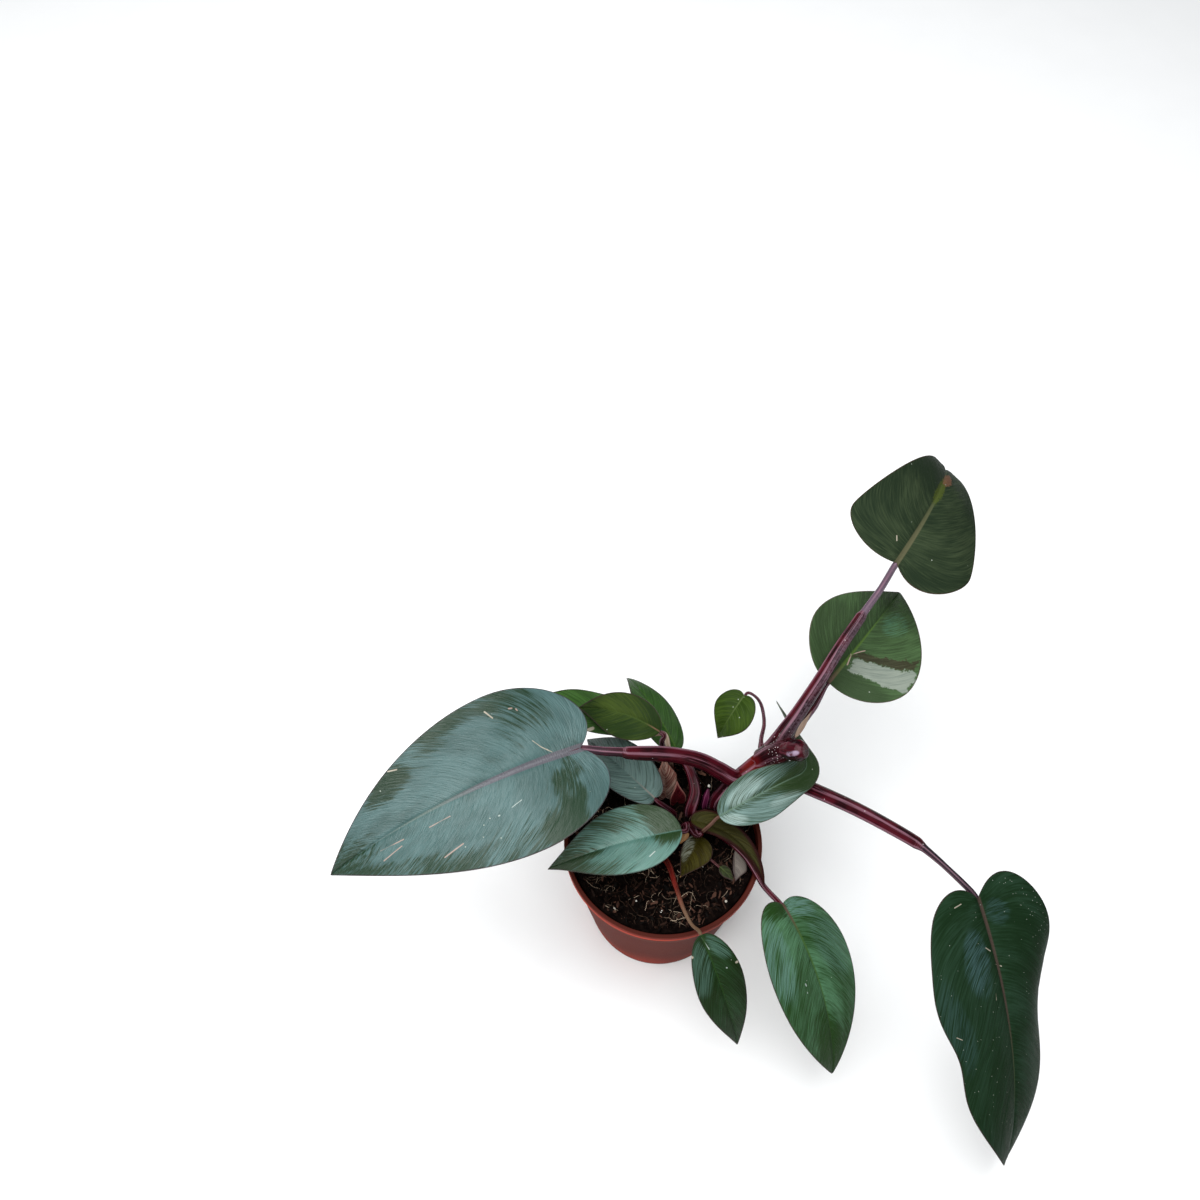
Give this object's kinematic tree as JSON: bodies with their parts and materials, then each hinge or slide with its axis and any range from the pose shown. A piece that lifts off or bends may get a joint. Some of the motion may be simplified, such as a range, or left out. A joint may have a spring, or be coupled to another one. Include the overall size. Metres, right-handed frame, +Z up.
{
  "type": "potted blushing philodendron",
  "caption": "Small potted blushing philodendron: glossy heart-shaped leaves spread on long burgundy stalks from a low crown, in a tapered terracotta-coloured plastic nursery pot.",
  "frame": {"origin": "centre of the pot's foot, on the surface that the pot stands on", "axes": "+Z is up, +X runs to the right and +Y away from the viewer in the picture"},
  "size_m": [0.4108, 0.423, 0.2124],
  "materials": {
    "terracotta_plastic": "matte terracotta-coloured plastic",
    "potting_mix": "dark bark and peat mix with pale root fibres",
    "burgundy_stalk": "glossy burgundy stalk",
    "red_sheath": "glossy red young growth",
    "tan_stalk": "dull tan stalk",
    "pink_brown_sheath": "dry pinkish-brown sheath",
    "cream_sheath": "dry cream sheath",
    "grey_green_leaf": "waxy leaf with a blue-grey sheen",
    "dark_green_leaf": "waxy dark green leaf",
    "bright_green_leaf": "waxy bright green leaf",
    "olive_leaf": "waxy olive leaf",
    "pale_leaf": "pale grey-cream leaf"
  },
  "bodies": {
    "root": {"pot": "terracotta_plastic", "soil": "potting_mix", "main_shoot": "burgundy_stalk", "new_growth_bud": "red_sheath", "front_shoot": "burgundy_stalk", "stalk_bent_leaf": "tan_stalk", "stalk_front_left": "burgundy_stalk", "stalk_behind_left_grey": "burgundy_stalk", "stalk_behind_left_dark": "burgundy_stalk", "stalk_behind_left_bright": "pink_brown_sheath", "stalk_arching_bright": "burgundy_stalk", "stalk_front_small": "red_sheath", "stalk_seedling": "red_sheath", "shoot_bud_purple": "burgundy_stalk", "leaf_great_left": "grey_green_leaf", "leaf_front_left": "grey_green_leaf", "leaf_behind_left_grey": "grey_green_leaf", "leaf_behind_left_dark": "dark_green_leaf", "leaf_behind_left_bright": "bright_green_leaf", "leaf_arching_bright": "bright_green_leaf", "leaf_small_heart": "dark_green_leaf", "leaf_top_right": "dark_green_leaf", "leaf_right_variegated": "dark_green_leaf", "leaf_far_right_hanging": "dark_green_leaf", "leaf_bent_round_crown": "grey_green_leaf", "leaf_front_right": "bright_green_leaf", "leaf_front_small": "dark_green_leaf", "leaf_olive_small": "olive_leaf", "leaf_seedling": "olive_leaf", "leaf_pale_small": "pale_leaf", "sheath_front_right": "olive_leaf", "sheath_cream": "cream_sheath", "sheath_pink_brown": "pink_brown_sheath", "sheath_red": "red_sheath", "sheath_tan": "tan_stalk"}
  },
  "joints": []
}
